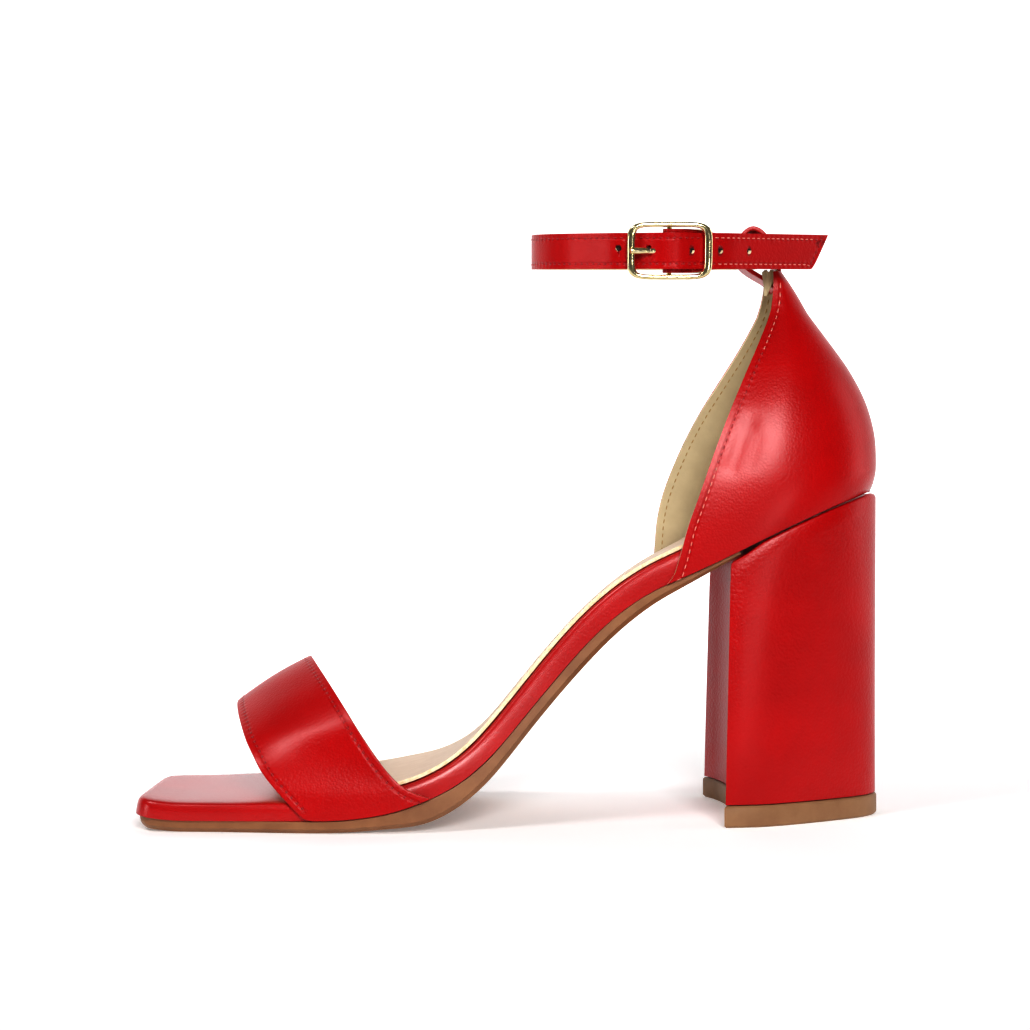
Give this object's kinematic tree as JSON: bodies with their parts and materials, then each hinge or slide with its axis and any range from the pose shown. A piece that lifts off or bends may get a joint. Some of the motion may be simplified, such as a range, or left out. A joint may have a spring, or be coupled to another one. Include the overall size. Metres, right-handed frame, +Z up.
{
  "type": "block heel sandal",
  "caption": "Left open-toe block heel sandal with a wide toe strap, a closed heel cup and a buckled ankle strap.",
  "frame": {"origin": "middle of the shoe's length and width, on the floor under the forefoot and the top lift", "axes": "+X from the toe to the heel, +Y from the outer to the inner side of the left foot, +Z up"},
  "size_m": [0.2126, 0.075, 0.1739],
  "materials": {
    "red_leather": "gloss",
    "tan_sole": "satin",
    "tan_lift": "satin",
    "sock_leather": "matte",
    "gold_metal": "polished"
  },
  "bodies": {
    "root": {"outsole": "tan_sole", "insole": "red_leather", "sock_lining": "sock_leather", "toe_strap": "red_leather", "heel_counter": "red_leather", "back_tab": "red_leather", "ankle_strap": "red_leather", "buckle_frame": "gold_metal", "buckle_prong": "gold_metal", "heel_block": "red_leather", "top_lift": "tan_lift"}
  },
  "joints": []
}
